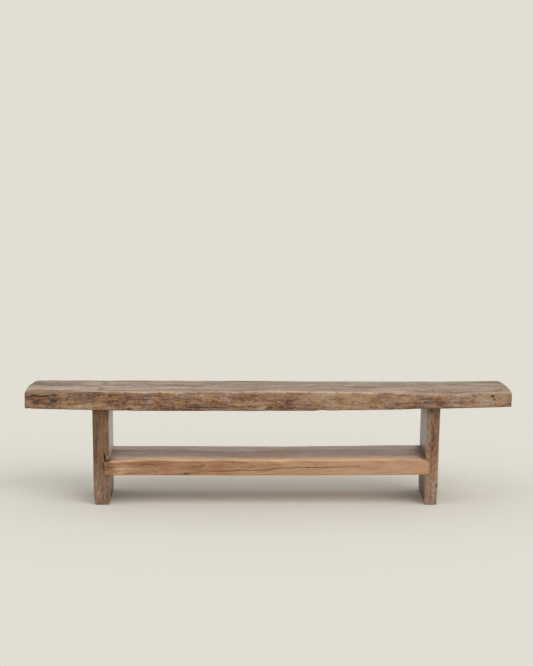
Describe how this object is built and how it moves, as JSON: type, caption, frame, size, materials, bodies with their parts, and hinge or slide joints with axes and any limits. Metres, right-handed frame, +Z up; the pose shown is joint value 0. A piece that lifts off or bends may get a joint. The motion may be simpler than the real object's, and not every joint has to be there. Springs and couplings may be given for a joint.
{
  "type": "slab bench",
  "caption": "Long low bench of weathered timber: thick slab seat on plank legs with wedged through tenons, tied by a lower shelf board housed and pegged into the legs.",
  "frame": {"origin": "on the floor under the middle of the seat", "axes": "+X along the bench to the right seen from the front, +Y to its back, +Z up"},
  "size_m": [1.905, 0.285, 0.45],
  "materials": {
    "seat_wood": "weathered grey-brown old timber, matt, with cracks and nail holes",
    "left_leg_wood": "dark brown old timber, matt, paler grey on the inner face",
    "right_leg_wood": "brown old timber, matt",
    "shelf_wood": "warm tan timber with cathedral grain, matt, greyed on top",
    "wedge_wood": "dark hardwood end grain, matt",
    "peg_wood": "dark hardwood end grain, matt"
  },
  "bodies": {
    "root": {"seat_slab": "seat_wood", "left_leg": "left_leg_wood", "right_leg": "right_leg_wood", "lower_shelf": "shelf_wood", "left_front_wedge": "wedge_wood", "left_rear_wedge": "wedge_wood", "right_front_wedge": "wedge_wood", "right_rear_wedge": "wedge_wood", "left_front_peg": "peg_wood", "left_rear_peg": "peg_wood", "right_front_peg": "peg_wood", "right_rear_peg": "peg_wood"}
  },
  "joints": []
}
